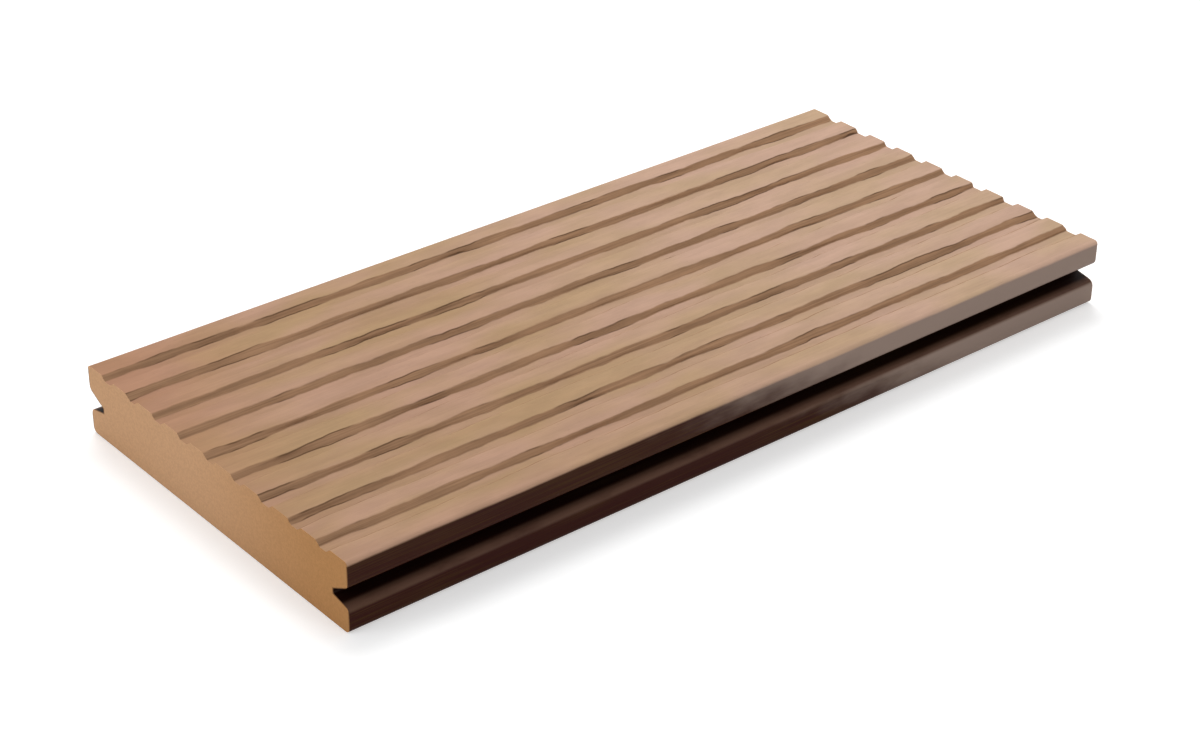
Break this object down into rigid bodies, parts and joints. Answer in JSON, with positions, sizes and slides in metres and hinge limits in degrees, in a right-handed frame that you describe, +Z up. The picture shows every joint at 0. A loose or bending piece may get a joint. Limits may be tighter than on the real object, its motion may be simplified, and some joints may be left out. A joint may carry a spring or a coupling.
{
  "type": "decking board",
  "caption": "Solid wood-plastic decking board with a grooved walking face, a plain underside and a clip slot along each long edge.",
  "frame": {"origin": "middle of the underside", "axes": "+X along the board's length, +Y across its width, +Z up from the underside to the grooved face"},
  "size_m": [0.31, 0.14, 0.024],
  "materials": {
    "composite": "brushed matte faces, satin extruded skin on the long edges and in the grooves, sawn ends"
  },
  "bodies": {
    "root": {"decking_board": "composite"}
  },
  "joints": []
}
